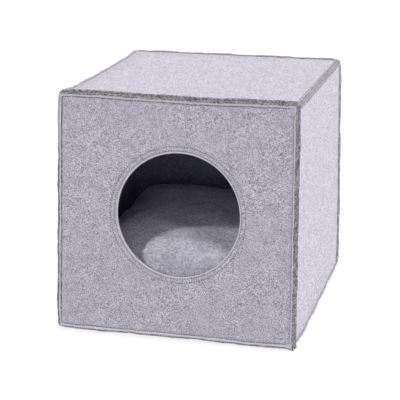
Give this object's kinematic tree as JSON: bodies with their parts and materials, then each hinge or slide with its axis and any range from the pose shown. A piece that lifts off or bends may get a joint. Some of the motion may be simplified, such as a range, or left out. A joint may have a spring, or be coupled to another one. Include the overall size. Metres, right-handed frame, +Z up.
{
  "type": "felt cat cave",
  "caption": "Self-standing cat cave: a box of thick felt with raw-edge seams standing out along its edges, a round entry in the front and a plump loose cushion inside.",
  "frame": {"origin": "on the ground, under the middle of the box", "axes": "+Z up; the entry faces -Y and +Y runs into the cave; +X is to the right seen from the entry side"},
  "size_m": [0.3336, 0.3768, 0.3333],
  "materials": {
    "felt": "matt heather-grey pressed felt",
    "cushion_cover": "matt grey brushed cloth"
  },
  "bodies": {
    "root": {"panel_front": "felt", "panel_back": "felt", "panel_left": "felt", "panel_right": "felt", "panel_top": "felt", "panel_bottom": "felt", "cushion": "cushion_cover"}
  },
  "joints": []
}
